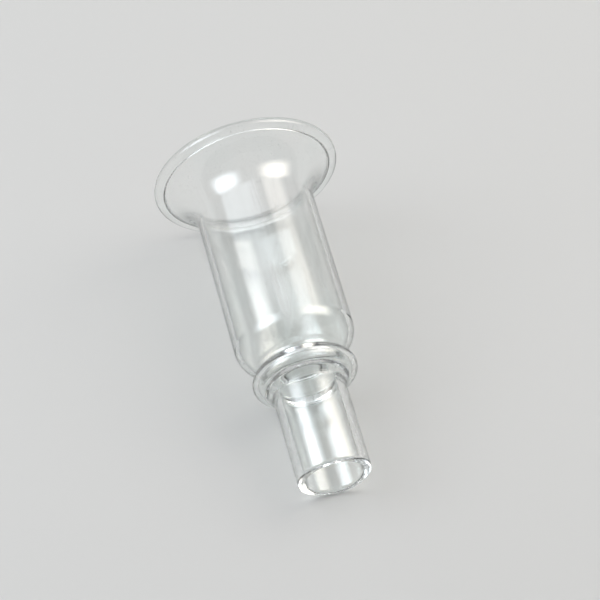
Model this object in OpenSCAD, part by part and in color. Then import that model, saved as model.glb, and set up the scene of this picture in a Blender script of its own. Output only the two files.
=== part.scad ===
// Short-stem glass funnel with a flared mouth and a stop collar.
// One lampworked piece of clear borosilicate tube, drawn as the
// sections it is worked from: every section is its own solid and the
// sections meet face to face at the fused seams.
//
// Frame: +Z up, the funnel lies on its side on the plane z = 0 the way
// it rests by itself, touching with the rim bead and with the open stem
// end. The axis runs in the YZ plane, the stem points to -Y. The origin
// is the centre of the underside of the bounding box.
// All sizes are in millimetres; "station" is the distance from the open
// stem end, measured along the funnel's own axis.

/* [Stem] */
// Outside diameter of the stem
stem_od = 20; // [17:0.5:22]
// Wall thickness of the stem
stem_wall = 2.3; // [1.8:0.1:2.8]
// Radius of the fire-polished edge at the open end
stem_lip = 0.9; // [0.5:0.1:0.9]

/* [Stop collar] */
// Outside diameter of the collar
collar_od = 28.8; // [27.5:0.1:30]
// Station of the middle of the collar
collar_at = 31.2; // [30:0.1:36]
// Rounding radius of the collar's outer edge
collar_round = 3.1; // [2.9:0.1:3.4]
// Radius of the sweep from the stem into the collar
collar_fillet = 2.4; // [1.8:0.1:2.8]

/* [Bowl] */
// Outside diameter of the bowl
bowl_od = 33.1; // [32:0.1:34.5]
// Wall thickness of collar, shoulder, bowl and mouth
bowl_wall = 1.6; // [1.4:0.1:2]
// Outside diameter of the waist between collar and shoulder
waist_od = 22.6; // [22:0.1:24]
// Radius of the groove at the waist
waist_round = 1.2; // [1:0.1:1.5]
// Rounding radius of the shoulder
shoulder_round = 7.6; // [7:0.1:8.4]

/* [Mouth] */
// Station where the mouth starts to flare
flare_from = 84.5; // [83:0.5:86]
// Angle between the flare's edge and the funnel's axis
flare_angle = 58; // [50:1:62]
// Station of the middle of the rim bead
rim_at = 97.2; // [96:0.1:98.5]
// Outside diameter over the rim bead
rim_od = 52.4; // [50:0.1:56]
// Thickness of the rim bead
bead_d = 3.2; // [2.6:0.1:3.4]

/* [Hidden] */
$fn = 96;

glass = [0.86, 0.92, 0.93, 0.45];

// radii
ro = stem_od / 2;
ri = ro - stem_wall;
rb = bowl_od / 2;
rc = collar_od / 2;
rw = waist_od / 2;
bead = bead_d / 2;
re = rim_od / 2 - bead;

// centre of the collar's round edge, in [station, radius]
c_col = [collar_at, rc - collar_round];
// sweep from stem to collar, outside: tangent to the stem and to the collar
c_fil = [collar_at - sqrt(pow(collar_round + collar_fillet, 2) - pow(c_col[1] - ro - collar_fillet, 2)),
         ro + collar_fillet];
// the same sweep on the inside, from the stem bore into the hollow collar
in_round = collar_round - bowl_wall;
in_fillet = 2.6;
c_fin = [collar_at - sqrt(pow(in_round + in_fillet, 2) - pow(c_col[1] - ri - in_fillet, 2)),
         ri + in_fillet];
// groove at the waist: tangent to the collar
c_wst = [collar_at + sqrt(pow(collar_round + waist_round, 2) - pow(rw + waist_round - c_col[1], 2)),
         rw + waist_round];
// shoulder: tangent to the groove and to the bowl
c_shd = [c_wst[0] + sqrt(pow(shoulder_round + waist_round, 2)
                         - pow(rb - shoulder_round - c_wst[1], 2)),
         rb - shoulder_round];

// seams between the worked sections
seam_stem = min(c_fil[0], c_fin[0]) - 0.6;
seam_waist = c_wst[0];
seam_bowl = c_shd[0];
seam_flare = flare_from;

// how the funnel lies: tilt that brings rim bead and stem end to the same level
lie_a = rim_at - stem_lip;
lie_b = re - ro + stem_lip;
tilt = atan2(lie_b, lie_a) + asin((bead - stem_lip) / sqrt(lie_a * lie_a + lie_b * lie_b));
low_z = rim_at * sin(tilt) - re * cos(tilt) - bead;
far_y = rim_at * cos(tilt) + re * sin(tilt) + bead;
near_y = stem_lip * cos(tilt) - (ro - stem_lip) * sin(tilt) - stem_lip;

// points of an arc round c with radius r from angle a to angle b
function arc(c, r, a, b, n) =
    [for (i = [0 : n]) let (t = a + (b - a) * i / n) [c[0] + r * cos(t), c[1] + r * sin(t)]];
// direction from one centre to another
function dir(p, q) = atan2(q[1] - p[1], q[0] - p[0]);
// [station, radius] to the [x, y] that rotate_extrude wants
function turned(p) = [for (q = p) [q[1], q[0]]];
function flip(p) = [for (i = [len(p) - 1 : -1 : 0]) p[i]];

// The flared wall bends outwards on one round bend and then runs straight
// into the rim bead. Bend radius and straight length, at mid-wall, follow
// from the angle and from how far the bead stands off along and outwards.
half = bowl_wall / 2;
fl_a = rim_at - flare_from;
fl_b = re - (rb - half);
flare_turn = min(flare_angle, 2 * atan(fl_b / (fl_a + 2.2)));
bend = (fl_a * sin(flare_turn) - fl_b * cos(flare_turn)) / (1 - cos(flare_turn));
c_bnd = [flare_from, rb - half + bend];
along = [cos(flare_turn), sin(flare_turn)];    // from the bend to the bead
out = [-sin(flare_turn), cos(flare_turn)];     // square to the wall, to its outer face
bend_end = c_bnd - bend * out;
// small fillets where the two faces of the wall run into the bead
root_fillet = 1;
root_off = half + root_fillet;
root_drop = sqrt(pow(bead + root_fillet, 2) - root_off * root_off);
root_ang = atan2(root_drop, root_off);
c_bead = [rim_at, re];
lean = flare_turn - 90;

// places a section drawn along +Z into the lying frame
module lying()
    translate([0, -(far_y + near_y) / 2, -low_z])
        rotate([tilt - 90, 0, 0])
            children();

module section(pts)
    lying() rotate_extrude($fn = 180) polygon(turned(pts));

// straight open tube with a fire-polished end
module stem_tube() {
    color(glass)
        section(concat(
            arc([stem_lip, ri + stem_lip], stem_lip, 270, 180, 8),
            arc([stem_lip, ro - stem_lip], stem_lip, 180, 90, 8),
            [[seam_stem, ro], [seam_stem, ri]]));
}

// hollow ring blown out of the tube, down to the groove of the waist
module stop_collar() {
    color(glass)
        section(concat(
            [[seam_stem, ri], [seam_stem, ro]],
            arc(c_fil, collar_fillet, 270, 360 + dir(c_fil, c_col), 12),
            arc(c_col, collar_round, 180 + dir(c_fil, c_col), dir(c_col, c_wst), 28),
            arc(c_wst, waist_round, 180 + dir(c_col, c_wst), 270, 10),
            flip(concat(
                arc(c_fin, in_fillet, 270, 360 + dir(c_fin, c_col), 10),
                arc(c_col, in_round, 180 + dir(c_fin, c_col), dir(c_col, c_wst), 16),
                arc(c_wst, waist_round + bowl_wall, 180 + dir(c_col, c_wst), 270, 12)))));
}

// rounded bottom of the bowl, drawn in to the waist
module bowl_shoulder() {
    color(glass)
        section(concat(
            arc(c_wst, waist_round, 270, 360 + dir(c_wst, c_shd), 8),
            arc(c_shd, shoulder_round, 180 + dir(c_wst, c_shd), 90, 20),
            flip(concat(
                arc(c_wst, waist_round + bowl_wall, 270, 360 + dir(c_wst, c_shd), 8),
                arc(c_shd, shoulder_round - bowl_wall, 180 + dir(c_wst, c_shd), 90, 20)))));
}

// straight wall of the bowl
module bowl_tube() {
    color(glass)
        section([[seam_bowl, rb], [seam_flare, rb],
                 [seam_flare, rb - bowl_wall], [seam_bowl, rb - bowl_wall]]);
}

// trumpet mouth
module mouth_flare() {
    color(glass)
        section(concat(
            arc(c_bnd, bend - half, 270, 270 + flare_turn, 24),
            flip(arc(c_bnd, bend + half, 270, 270 + flare_turn, 24))));
}

// rolled and fire-polished rim, with the last straight of the flared wall
module rim_bead() {
    color(glass)
        section(concat(
            [bend_end + half * out],
            arc(c_bead + root_off * out - root_drop * along, root_fillet, lean, root_ang + lean, 5),
            arc(c_bead, bead, 180 + root_ang + lean, -root_ang + lean, 36),
            arc(c_bead - root_off * out - root_drop * along, root_fillet, 180 - root_ang + lean, 180 + lean, 5),
            [bend_end - half * out]));
}

stem_tube();
stop_collar();
bowl_shoulder();
bowl_tube();
mouth_flare();
rim_bead();
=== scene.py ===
import math

import bpy
import numpy as np
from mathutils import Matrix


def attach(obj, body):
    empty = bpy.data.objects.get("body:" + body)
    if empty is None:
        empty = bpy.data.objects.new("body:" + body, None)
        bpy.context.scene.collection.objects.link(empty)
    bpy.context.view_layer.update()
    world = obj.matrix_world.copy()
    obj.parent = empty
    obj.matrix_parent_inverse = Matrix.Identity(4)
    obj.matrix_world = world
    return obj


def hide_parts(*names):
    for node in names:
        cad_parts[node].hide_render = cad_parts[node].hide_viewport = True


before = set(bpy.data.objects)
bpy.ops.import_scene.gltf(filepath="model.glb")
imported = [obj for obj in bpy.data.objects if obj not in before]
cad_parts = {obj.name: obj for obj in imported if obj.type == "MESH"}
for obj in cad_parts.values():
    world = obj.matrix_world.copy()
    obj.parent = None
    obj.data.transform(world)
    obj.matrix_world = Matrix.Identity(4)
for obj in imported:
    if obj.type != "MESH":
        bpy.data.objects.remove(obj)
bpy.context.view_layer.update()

# ------------------------------------------------------------------ sizes
# The driving sizes of part.scad, in millimetres. "station" runs along the
# funnel's own axis from the open stem end.
stem_od, stem_wall, stem_lip = 20.0, 2.3, 0.9
collar_od, collar_at, collar_round, collar_fillet = 28.8, 31.2, 3.1, 2.4
bowl_od, bowl_wall, waist_od, waist_round, shoulder_round = 33.1, 1.6, 22.6, 1.2, 7.6
flare_from, flare_angle, rim_at, rim_od, bead_d = 84.5, 58.0, 97.2, 52.4, 3.2
in_fillet, root_fillet = 2.6, 1.0

ro, ri = stem_od / 2, stem_od / 2 - stem_wall
rb, rc, rw = bowl_od / 2, collar_od / 2, waist_od / 2
bead = bead_d / 2
re = rim_od / 2 - bead
in_round = collar_round - bowl_wall


def away(p, q):
    """Angle of the direction from centre p to centre q, in degrees."""
    return math.degrees(math.atan2(q[1] - p[1], q[0] - p[0]))


c_col = (collar_at, rc - collar_round)
c_fil = (collar_at - math.sqrt((collar_round + collar_fillet) ** 2 - (c_col[1] - ro - collar_fillet) ** 2), ro + collar_fillet)
c_fin = (collar_at - math.sqrt((in_round + in_fillet) ** 2 - (c_col[1] - ri - in_fillet) ** 2), ri + in_fillet)
c_wst = (collar_at + math.sqrt((collar_round + waist_round) ** 2 - (rw + waist_round - c_col[1]) ** 2), rw + waist_round)
c_shd = (c_wst[0] + math.sqrt((shoulder_round + waist_round) ** 2 - (rb - shoulder_round - c_wst[1]) ** 2), rb - shoulder_round)
seam_stem = min(c_fil[0], c_fin[0]) - 0.6

# the flared wall: one round bend, then straight into the rim bead
half = bowl_wall / 2
fl_a, fl_b = rim_at - flare_from, re - (rb - half)
turn_deg = min(flare_angle, 2 * math.degrees(math.atan2(fl_b, fl_a + 2.2)))
turn = math.radians(turn_deg)
bend = (fl_a * math.sin(turn) - fl_b * math.cos(turn)) / (1 - math.cos(turn))
c_bnd = (flare_from, rb - half + bend)
root_off = half + root_fillet
root_drop = math.sqrt((bead + root_fillet) ** 2 - root_off ** 2)
root_ang = math.degrees(math.atan2(root_drop, root_off))
slant = turn_deg - 90


def from_bead(out, along):
    """Place given by its distance out of the wall's face and along the wall, from the bead's centre."""
    return (rim_at - math.sin(turn) * out + math.cos(turn) * along, re + math.cos(turn) * out + math.sin(turn) * along)


skirt = math.sqrt(fl_a ** 2 + (bend - fl_b) ** 2 - bend ** 2)   # length of the straight

# how the funnel lies, as in part.scad
lie_a, lie_b = rim_at - stem_lip, re - ro + stem_lip
tilt = math.atan2(lie_b, lie_a) + math.asin((bead - stem_lip) / math.hypot(lie_a, lie_b))
low_z = rim_at * math.sin(tilt) - re * math.cos(tilt) - bead
far_y = rim_at * math.cos(tilt) + re * math.sin(tilt) + bead
near_y = stem_lip * math.cos(tilt) - (ro - stem_lip) * math.sin(tilt) - stem_lip
AXIS = np.array([0.0, math.cos(tilt), math.sin(tilt)])
SIDE = np.array([1.0, 0.0, 0.0])
UPWARD = np.array([0.0, -math.sin(tilt), math.cos(tilt)])
STEM_END = np.array([0.0, -(far_y + near_y) / 2, -low_z])

# ------------------------------------------------------------------ profile
# One closed loop round the glass wall's section: up the outside from the
# stem's lip to the rim bead, and back down the inside. Each point has its
# station, radius and unit tangent.
STEM, COLLAR, SHOULDER, BOWL, FLARE, RIM = range(6)
loop, marks = [], {}


def put(s, r, ts, tr):
    if loop and math.hypot(loop[-1][0] - s, loop[-1][1] - r) < 1e-4:
        return
    loop.append((s, r, ts, tr))


def mark(name):
    marks[name] = len(loop) - 1


def line(s0, r0, s1, r1, step):
    n = max(1, math.ceil(math.hypot(s1 - s0, r1 - r0) / step))
    d = math.hypot(s1 - s0, r1 - r0)
    for i in range(n + 1):
        k = i / n
        put(s0 + (s1 - s0) * k, r0 + (r1 - r0) * k, (s1 - s0) / d, (r1 - r0) / d)


def arc(c, rad, a0, a1, step=5.0):
    n = max(2, math.ceil(abs(a1 - a0) / step))
    w = 1 if a1 > a0 else -1
    for i in range(n + 1):
        a = math.radians(a0 + (a1 - a0) * i / n)
        put(c[0] + rad * math.cos(a), c[1] + rad * math.sin(a), -w * math.sin(a), w * math.cos(a))


line(0, (ri + ro) / 2, 0, ro - stem_lip, 0.2)
arc((stem_lip, ro - stem_lip), stem_lip, 180, 90, 9)
line(stem_lip, ro, seam_stem, ro, 1.2); mark("stem_out")
line(seam_stem, ro, c_fil[0], ro, 0.4)
arc(c_fil, collar_fillet, 270, 360 + away(c_fil, c_col), 4)
arc(c_col, collar_round, 180 + away(c_fil, c_col), away(c_col, c_wst), 3.5)
arc(c_wst, waist_round, 180 + away(c_col, c_wst), 270, 6); mark("waist_out")
arc(c_wst, waist_round, 270, 360 + away(c_wst, c_shd), 6)
arc(c_shd, shoulder_round, 180 + away(c_wst, c_shd), 90, 3); mark("bowl_out")
line(c_shd[0], rb, flare_from, rb, 1.3); mark("flare_out")
arc(c_bnd, bend - half, 270, 270 + turn_deg, 1.5); mark("rim_out")
line(*from_bead(half, -skirt), *from_bead(half, -root_drop), 0.4)
arc(from_bead(root_off, -root_drop), root_fillet, slant, root_ang + slant, 7)
arc((rim_at, re), bead, 180 + root_ang + slant, -root_ang + slant, 5)
arc(from_bead(-root_off, -root_drop), root_fillet, 180 - root_ang + slant, 180 + slant, 7)
line(*from_bead(-half, -root_drop), *from_bead(-half, -skirt), 0.4); mark("rim_in")
arc(c_bnd, bend + half, 270 + turn_deg, 270, 1.5); mark("flare_in")
line(flare_from, rb - bowl_wall, c_shd[0], rb - bowl_wall, 1.3); mark("bowl_in")
arc(c_shd, shoulder_round - bowl_wall, 90, 180 + away(c_wst, c_shd), 3)
arc(c_wst, waist_round + bowl_wall, 360 + away(c_wst, c_shd), 270, 5); mark("waist_in")
arc(c_wst, waist_round + bowl_wall, 270, 180 + away(c_col, c_wst), 5)
arc(c_col, in_round, away(c_col, c_wst), 180 + away(c_fin, c_col), 5)
arc(c_fin, in_fillet, 360 + away(c_fin, c_col), 270, 4)
line(c_fin[0], ri, seam_stem, ri, 0.4); mark("stem_in")
line(seam_stem, ri, stem_lip, ri, 1.2)
arc((stem_lip, ri + stem_lip), stem_lip, 270, 180, 9)
line(0, ri + stem_lip, 0, (ri + ro) / 2, 0.2)
loop.pop()          # the last point is the first one again

P = np.array(loop)
M, N = len(P), 240
ell = np.concatenate([[0], np.cumsum(np.hypot(*np.diff(P[:, :2], axis=0).T))])
total = ell[-1] + math.hypot(P[0, 0] - P[-1, 0], P[0, 1] - P[-1, 1])
phi = np.arange(N) * 2 * math.pi / N


# ------------------------------------------------------------------ hand work
# Glass worked on a lathe is never quite true. Every point moves along its
# own normal by a few hundredths of a millimetre, in long soft waves: more
# where the tube was heated and shaped, less along the drawn tube.
def worked(l):
    """How strongly the wall was worked at this place of the loop, 0 to 1."""
    s = np.interp(l, ell, P[:, 0])
    bump = lambda c, w: np.exp(-((s - c) / w) ** 2)
    return np.clip(0.03 + 0.75 * bump(33, 8) + 0.6 * bump(97, 6) + 0.5 * bump(0, 4), 0, 1)


WAVES = [  # amplitude mm, turns round the axis, waves along the loop, phase
    (0.026, 2, 3, 0.4), (0.017, 3, 7, 2.1), (0.014, 1, 11, 4.0), (0.012, 5, 5, 1.3),
    (0.010, 4, 16, 5.2), (0.008, 7, 9, 0.9), (0.007, 6, 23, 3.3), (0.005, 11, 14, 2.7),
]


def lift(l, f):
    h = np.zeros(np.broadcast(l, f).shape)
    for a, m, k, p in WAVES:
        h = h + a * np.sin(m * f + 2 * math.pi * k * l / total + p)
    return h * worked(l)


L, Fi = ell[:, None], phi[None, :]
h = lift(L, Fi)
dl, df = 0.02, 0.002
hl = (lift(np.mod(L + dl, total), Fi) - lift(np.mod(L - dl, total), Fi)) / (2 * dl)
hf = (lift(L, Fi + df) - lift(L, Fi - df)) / (2 * df)
ts, tr = P[:, 2][:, None], P[:, 3][:, None]
ns, nr = -tr, ts
S = P[:, 0][:, None] + ns * h
Rr = P[:, 1][:, None] + nr * h
# normal of the waved surface, in (along, outward, round) terms
q = 1.0 / np.maximum(P[:, 1][:, None], 1e-6)
va = ns - hl * ts
vr = nr - hl * tr
vf = -hf * q
ln = np.sqrt(va ** 2 + vr ** 2 + vf ** 2)
va, vr, vf = va / ln, vr / ln, vf / ln
cosf, sinf = np.cos(phi)[None, :], np.sin(phi)[None, :]


def lying(a, x, y):
    """Axis frame (along, x, y) to the lying frame."""
    return a[..., None] * AXIS + x[..., None] * SIDE + y[..., None] * UPWARD


verts = (STEM_END + lying(S, Rr * cosf, Rr * sinf)) * 0.001
norms = lying(va, vr * cosf - vf * sinf, vr * sinf + vf * cosf)

# ------------------------------------------------------------------ materials


def node(nt, kind, **values):
    n = nt.nodes.new(kind)
    for k, v in values.items():
        setattr(n, k, v)
    return n


# painted shade at the glass edges: where the base colour starts and stops darkening toward the silhouettes, and how
# dark it gets
EDGE_FROM, EDGE_TO, PAINTED_EDGE_SHADE = 0.55, 0.97, (0.03, 0.045, 0.042, 1)


def clear_glass():
    """Clear borosilicate glass with the traces of drawing, wiping and use."""
    mat = bpy.data.materials.new("clear_glass")
    mat.use_nodes = True
    nt = mat.node_tree
    nt.nodes.clear()
    link = nt.links.new
    out = node(nt, "ShaderNodeOutputMaterial")
    bsdf = node(nt, "ShaderNodeBsdfPrincipled")
    bsdf.inputs["IOR"].default_value = 1.47
    bsdf.inputs["Transmission Weight"].default_value = 1.0
    link(bsdf.outputs[0], out.inputs["Surface"])
    # coordinates in the funnel's own frame, metres: z is the station
    pos = node(nt, "ShaderNodeTexCoord")
    own = node(nt, "ShaderNodeMapping", vector_type="TEXTURE")
    own.inputs["Location"].default_value = tuple(STEM_END * 0.001)
    own.inputs["Rotation"].default_value = (tilt - math.pi / 2, 0, 0)
    link(pos.outputs["Object"], own.inputs["Vector"])

    def noise(scale, sx, sz, detail, rough=0.5):
        m = node(nt, "ShaderNodeMapping")
        m.inputs["Scale"].default_value = (sx, sx, sz)
        link(own.outputs[0], m.inputs["Vector"])
        t = node(nt, "ShaderNodeTexNoise")
        t.inputs["Scale"].default_value = scale
        t.inputs["Detail"].default_value = detail
        t.inputs["Roughness"].default_value = rough
        link(m.outputs[0], t.inputs["Vector"])
        return t.outputs["Fac"]

    def ramp(fac, lo, hi, a, b):
        r = node(nt, "ShaderNodeMapRange", interpolation_type="SMOOTHSTEP")
        for name, v in (("From Min", lo), ("From Max", hi), ("To Min", a), ("To Max", b)):
            r.inputs[name].default_value = v
        link(fac, r.inputs["Value"])
        return r.outputs["Result"]

    def maths(op, a, b):
        m = node(nt, "ShaderNodeMath", operation=op)
        for i, v in enumerate((a, b)):
            if isinstance(v, (int, float)):
                m.inputs[i].default_value = v
            else:
                link(v, m.inputs[i])
        return m.outputs[0]

    split = node(nt, "ShaderNodeSeparateXYZ")
    link(own.outputs[0], split.inputs[0])
    station = split.outputs["Z"]
    # wiped haze: streaks along the tube, broken into patches, fading at the mouth
    streaks = ramp(noise(1.0, 520.0, 26.0, 5.0, 0.62), 0.46, 0.74, 0.0, 1.0)
    patches = ramp(noise(1.0, 75.0, 42.0, 2.0), 0.36, 0.66, 0.15, 1.0)
    clean = ramp(station, 0.078, 0.096, 1.0, 0.25)
    haze = maths("MULTIPLY", maths("MULTIPLY", streaks, patches), clean)
    # dust and water marks
    specks = ramp(noise(1.0, 2100.0, 2100.0, 1.0), 0.71, 0.78, 0.0, 1.0)
    film = maths("MAXIMUM", haze, maths("MULTIPLY", specks, 0.8))
    link(ramp(film, 0.0, 1.0, 0.024, 0.24), bsdf.inputs["Roughness"])
    link(maths("SUBTRACT", ramp(haze, 0.0, 1.0, 1.0, 0.88), maths("MULTIPLY", specks, 0.45)), bsdf.inputs["Transmission Weight"])
    # faint tone of the melt
    tone = node(nt, "ShaderNodeMix", data_type="RGBA")
    tone.inputs[6].default_value = (0.955, 0.978, 0.972, 1)
    tone.inputs[7].default_value = (0.975, 0.982, 0.975, 1)
    link(patches, tone.inputs[0])
    # painted shade: seen edge on, the base colour darkens toward the silhouette, a little for the longer way the light
    # has through the wall, mostly to paint dark edge lines against the pale floor
    facing = node(nt, "ShaderNodeLayerWeight")
    facing.inputs["Blend"].default_value = 0.5
    edge = ramp(facing.outputs["Facing"], EDGE_FROM, EDGE_TO, 0.0, 1.0)
    edge_shade = node(nt, "ShaderNodeMix", data_type="RGBA")
    edge_shade.inputs[7].default_value = PAINTED_EDGE_SHADE
    link(edge, edge_shade.inputs[0])
    link(tone.outputs[2], edge_shade.inputs[6])
    link(edge_shade.outputs[2], bsdf.inputs["Base Color"])
    # draw lines along the tube and the faint ripple of lathe work
    lines = noise(1.0, 330.0, 5.0, 3.0, 0.55)
    ripple = noise(1.0, 130.0, 330.0, 2.0, 0.4)
    both = maths("ADD", maths("MULTIPLY", lines, 0.75), maths("MULTIPLY", ripple, 0.35))
    bump = node(nt, "ShaderNodeBump")
    bump.inputs["Strength"].default_value = 0.15
    bump.inputs["Distance"].default_value = 0.00001
    link(both, bump.inputs["Height"])
    link(bump.outputs[0], bsdf.inputs["Normal"])
    return mat


def fused_seam():
    """The faces where two sections of one melt meet: nothing to see there."""
    mat = bpy.data.materials.new("fused_seam")
    mat.use_nodes = True
    nt = mat.node_tree
    nt.nodes.clear()
    out, clear = node(nt, "ShaderNodeOutputMaterial"), node(nt, "ShaderNodeBsdfTransparent")
    nt.links.new(clear.outputs[0], out.inputs["Surface"])
    return mat


GLASS, SEAM = clear_glass(), fused_seam()

# ------------------------------------------------------------------ pieces


def rings(a, b):
    """Ring numbers from mark a to mark b along the loop, round the start if needed."""
    return list(range(a, b + 1)) if a <= b else list(range(a, M)) + list(range(0, b + 1))


def section(name, cad, strips, caps):
    """One worked section as a closed solid: strips of the wall, and the cap rings at its seams."""
    used = sorted({i for s in strips for i in s})
    at = {i: k for k, i in enumerate(used)}
    co = verts[used].reshape(-1, 3)
    j = np.arange(N)
    jn = (j + 1) % N
    faces, nrm, slots = [], [], []
    for s in strips:
        for a, b in zip(s[:-1], s[1:]):
            faces.append(np.stack([at[a] * N + j, at[a] * N + jn, at[b] * N + jn, at[b] * N + j], -1)[:, ::-1])
            nrm.append(np.stack([norms[a][j], norms[a][jn], norms[b][jn], norms[b][j]], 1)[:, ::-1])
            slots.append(np.zeros(N, int))
    for a, b in caps:   # from the ring a on one face of the wall to the ring b on the other
        f = np.stack([at[a] * N + j, at[a] * N + jn, at[b] * N + jn, at[b] * N + j], -1)[:, ::-1]
        p = co[f]
        n = np.cross(p[:, 2] - p[:, 0], p[:, 3] - p[:, 1])
        n /= np.linalg.norm(n, axis=1)[:, None]
        faces.append(f)
        nrm.append(np.repeat(n[:, None, :], 4, 1))
        slots.append(np.ones(N, int))
    f, n, m = np.concatenate(faces), np.concatenate(nrm), np.concatenate(slots)
    me = bpy.data.meshes.new(name)
    me.vertices.add(len(co))
    me.vertices.foreach_set("co", co.astype(np.float32).ravel())
    me.loops.add(f.size)
    me.loops.foreach_set("vertex_index", f.astype(np.int32).ravel())
    me.polygons.add(len(f))
    me.polygons.foreach_set("loop_start", np.arange(0, f.size, 4, dtype=np.int32))
    me.materials.append(GLASS)
    if caps:
        me.materials.append(SEAM)
    me.polygons.foreach_set("material_index", m.astype(np.int32))
    me.update(calc_edges=True)
    me.validate()
    me.polygons.foreach_set("use_smooth", np.ones(len(f), bool))
    me.normals_split_custom_set(n.reshape(-1, 3).tolist())
    ob = bpy.data.objects.new(name, me)
    bpy.context.scene.collection.objects.link(ob)
    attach(ob, "root")
    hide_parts(cad)
    return ob


g = marks
section("glass_stem", "stem_tube", [rings(g["stem_in"], g["stem_out"])], [(g["stem_out"], g["stem_in"])])
section("glass_stop_collar", "stop_collar", [rings(g["stem_out"], g["waist_out"]), rings(g["waist_in"], g["stem_in"])],
        [(g["waist_out"], g["waist_in"]), (g["stem_in"], g["stem_out"])])
section("glass_bowl_shoulder", "bowl_shoulder", [rings(g["waist_out"], g["bowl_out"]), rings(g["bowl_in"], g["waist_in"])],
        [(g["bowl_out"], g["bowl_in"]), (g["waist_in"], g["waist_out"])])
section("glass_bowl_wall", "bowl_tube", [rings(g["bowl_out"], g["flare_out"]), rings(g["flare_in"], g["bowl_in"])],
        [(g["flare_out"], g["flare_in"]), (g["bowl_in"], g["bowl_out"])])
section("glass_mouth_flare", "mouth_flare", [rings(g["flare_out"], g["rim_out"]), rings(g["rim_in"], g["flare_in"])],
        [(g["rim_out"], g["rim_in"]), (g["flare_in"], g["flare_out"])])
section("glass_rim_bead", "rim_bead", [rings(g["rim_out"], g["rim_in"])], [(g["rim_in"], g["rim_out"])])

# ------------------------------------------------------------------ stage
scene = bpy.context.scene


def floor():
    """Plain pale table top, out to where the surround takes over."""
    radii = [0.05, 0.2, 0.6, 1.6, 4.0]
    n = 96
    co = [(0.0, 0.0, -0.00004)]
    faces = []
    for k, r in enumerate(radii):
        co += [(r * math.cos(2 * math.pi * i / n), r * math.sin(2 * math.pi * i / n), -0.00004) for i in range(n)]
        for i in range(n):
            a, b = 1 + k * n + i, 1 + k * n + (i + 1) % n
            faces.append((0, a, b) if k == 0 else (a - n, a, b, b - n))
    me = bpy.data.meshes.new("studio_floor")
    me.from_pydata(co, [], faces)
    mat = bpy.data.materials.new("studio_floor")
    mat.use_nodes = True
    nt = mat.node_tree
    b = nt.nodes["Principled BSDF"]
    b.inputs["Roughness"].default_value = 0.85
    b.inputs["Specular IOR Level"].default_value = 0.15
    t = nt.nodes.new("ShaderNodeTexNoise")
    t.inputs["Scale"].default_value = 9.0
    r = nt.nodes.new("ShaderNodeMix")
    r.data_type = "RGBA"
    r.inputs[6].default_value = (0.655, 0.655, 0.645, 1)
    r.inputs[7].default_value = (0.68, 0.68, 0.675, 1)
    nt.links.new(t.outputs["Fac"], r.inputs[0])
    nt.links.new(r.outputs[2], b.inputs["Base Color"])
    me.materials.append(mat)
    ob = bpy.data.objects.new("studio_floor", me)
    scene.collection.objects.link(ob)


floor()


def panel(name, turns, reach, colour, radiance, sparkle, fade):
    """Soft panel a metre off the funnel's axis, its long side along the axis, and its sparkle.

    turns: from where to where it reaches round the axis, in degrees from straight above.
    reach: from where to where it reaches along the axis, in metres, the mouth's way positive.
    fade: how far in from each of those four edges its brightness falls off, as part of the panel.
    The panel itself lights everything. Its sparkle is a second lamp just behind it that the glass
    mirrors and the floor doesn't see, neither directly nor through the glass, so the highlights
    can be brighter than a pale floor allows.
    """
    from mathutils import Matrix
    mid = math.radians((turns[0] + turns[1]) / 2)
    wide = 2 * math.tan(math.radians((turns[1] - turns[0]) / 2))
    high = reach[1] - reach[0]
    off = math.cos(mid) * UPWARD + math.sin(mid) * SIDE
    across = np.cross(AXIS, off)
    for kind, peak in (("panel", radiance), ("sparkle", sparkle)):
        at = np.array([0, 0, 0.02]) + (1.0 if kind == "panel" else 1.01) * off + (reach[0] + reach[1]) / 2 * AXIS
        data = bpy.data.lights.new(f"{name}_{kind}", "AREA")
        data.shape = "RECTANGLE"
        data.size, data.size_y = wide, high
        data.color = colour
        data.energy = math.pi * wide * high * peak
        data.use_nodes = True
        nt = data.node_tree
        glow = nt.nodes["Emission"]
        split = nt.nodes.new("ShaderNodeSeparateXYZ")
        nt.links.new(nt.nodes.new("ShaderNodeNewGeometry").outputs["Parametric"], split.inputs[0])
        falls = []
        if kind == "sparkle":
            m = nt.nodes.new("ShaderNodeMath")
            m.operation = "LESS_THAN"
            m.inputs[1].default_value = 0.5
            nt.links.new(nt.nodes.new("ShaderNodeLightPath").outputs["Diffuse Depth"], m.inputs[0])
            falls.append(m.outputs[0])
        for axis, lo, hi in (("X", fade[0], fade[1]), ("Y", fade[2], fade[3])):
            for edge, inside in ((0.0, lo), (1.0, 1.0 - hi)):
                m = nt.nodes.new("ShaderNodeMapRange")
                m.interpolation_type = "SMOOTHSTEP"
                m.inputs["From Min"].default_value, m.inputs["From Max"].default_value = (edge, inside) if edge < inside else (inside, edge)
                m.inputs["To Min"].default_value, m.inputs["To Max"].default_value = (0.0, 1.0) if edge < inside else (1.0, 0.0)
                nt.links.new(split.outputs[axis], m.inputs["Value"])
                falls.append(m.outputs["Result"])
        while len(falls) > 1:
            m = nt.nodes.new("ShaderNodeMath")
            m.operation = "MULTIPLY"
            nt.links.new(falls.pop(), m.inputs[0])
            nt.links.new(falls.pop(), m.inputs[1])
            falls.append(m.outputs[0])
        nt.links.new(falls[0], glow.inputs["Strength"])
        ob = bpy.data.objects.new(data.name, data)
        ob.matrix_world = Matrix([[across[i], AXIS[i], off[i], at[i]] for i in range(3)] + [[0, 0, 0, 1]])
        ob.visible_camera = False
        ob.visible_diffuse = kind == "panel"
        scene.collection.objects.link(ob)


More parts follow.
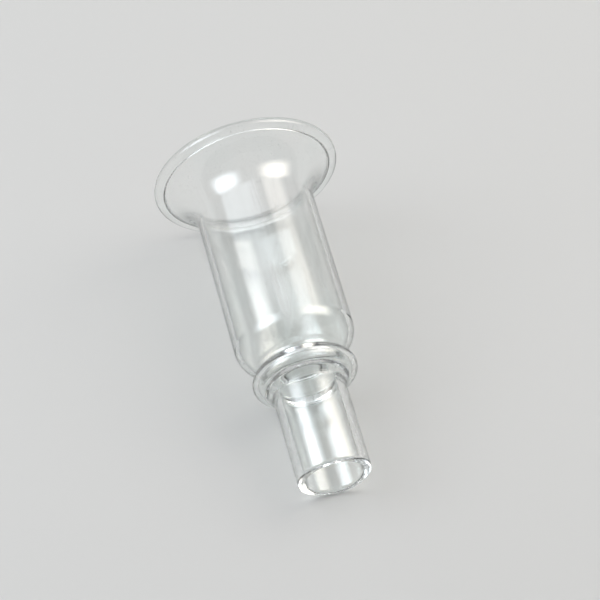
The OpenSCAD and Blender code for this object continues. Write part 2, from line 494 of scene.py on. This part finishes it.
# Two soft panels over the funnel, cool on the left and warm on the right, and their dimmer ends
# towards the mouth.
COOL_LIGHT, WARM_LIGHT = (0.88, 0.94, 1.0), (1.0, 0.94, 0.86)
LEFT, RIGHT = (-82, -14), (6, 82)
CORE, END = (-0.30, 0.66), (0.54, 0.97)
panel("cool", LEFT, CORE, COOL_LIGHT, 2.5, 7.5, (0.42, 0.50, 0.42, 0.28))
panel("warm", RIGHT, CORE, WARM_LIGHT, 2.2, 6.3, (0.48, 0.46, 0.42, 0.28))
panel("cool_end", (-76, 14), END, COOL_LIGHT, 0.9, 1.5, (0.15, 0.45, 0.15, 0.4))
panel("warm_end", (12, 64), END, WARM_LIGHT, 0.9, 1.5, (0.25, 0.30, 0.15, 0.4))

# A wide, weak lamp near the ceiling keeps the floor even out to where the low views see it.
ceiling = bpy.data.lights.new("ceiling", "AREA")
ceiling.shape = "SQUARE"
ceiling.size = 7.0
ceiling.energy = math.pi * ceiling.size ** 2 * 0.42
ceiling_ob = bpy.data.objects.new("ceiling", ceiling)
ceiling_ob.location = (0.0, 0.0, 2.6)
ceiling_ob.visible_camera = ceiling_ob.visible_glossy = False
scene.collection.objects.link(ceiling_ob)

world = bpy.data.worlds.new("studio")
world.use_nodes = True
scene.world = world


def surround():
    """A dim room, with a soft pale wall low down behind the mouth that lights the glass edges."""
    nt = world.node_tree
    link = nt.links.new
    bg = nt.nodes["Background"]
    bg.inputs[0].default_value = (0.97, 0.985, 1.0, 1)
    tc, sp = nt.nodes.new("ShaderNodeTexCoord"), nt.nodes.new("ShaderNodeSeparateXYZ")
    link(tc.outputs["Generated"], sp.inputs[0])

    def step(axis, lo, hi, a, b):
        m = nt.nodes.new("ShaderNodeMapRange")
        m.interpolation_type = "SMOOTHSTEP"
        for k, v in (("From Min", lo), ("From Max", hi), ("To Min", a), ("To Max", b)):
            m.inputs[k].default_value = v
        link(sp.outputs[axis], m.inputs["Value"])
        return m.outputs["Result"]

    def times(a, b):
        m = nt.nodes.new("ShaderNodeMath")
        m.operation = "MULTIPLY"
        link(a, m.inputs[0])
        link(b, m.inputs[1])
        return m.outputs[0]

    glow = times(times(step("Z", WALL_LOW[0], WALL_LOW[1], 0, 1), step("Z", WALL_TOP[0], WALL_TOP[1], 1, 0)),
                 step("Y", WALL_TURN[0], WALL_TURN[1], 0, WALL_GLOW))
    total = nt.nodes.new("ShaderNodeMath")
    total.operation = "ADD"
    link(glow, total.inputs[0])
    total.inputs[1].default_value = ROOM
    link(total.outputs[0], bg.inputs[1])


ROOM, WALL_GLOW = 0.25, 1.1
WALL_LOW, WALL_TOP, WALL_TURN = (-0.12, 0.16), (0.25, 0.40), (0.55, 0.90)
surround()

# ------------------------------------------------------------------ camera
cam = bpy.data.cameras.new("camera")
cam.sensor_width = 36.0
cam.lens = 145.74
cam.clip_start, cam.clip_end = 0.01, 20.0
cam_ob = bpy.data.objects.new("camera", cam)
cam_ob.location = (-0.104628, -0.412072, 0.519511)
cam_ob.rotation_euler = (math.radians(40.6543), 0.0, math.radians(-14.7220))
scene.collection.objects.link(cam_ob)
scene.camera = cam_ob

scene.view_settings.view_transform = "Standard"
scene.view_settings.look = "None"
scene.cycles.use_denoising = True
scene.cycles.max_bounces = 28
scene.cycles.transmission_bounces = 24
scene.cycles.glossy_bounces = 12
scene.cycles.diffuse_bounces = 4
scene.cycles.transparent_max_bounces = 48
scene.cycles.caustics_reflective = True
scene.cycles.caustics_refractive = True
scene.cycles.blur_glossy = 0.2
scene.cycles.sample_clamp_indirect = 6.0
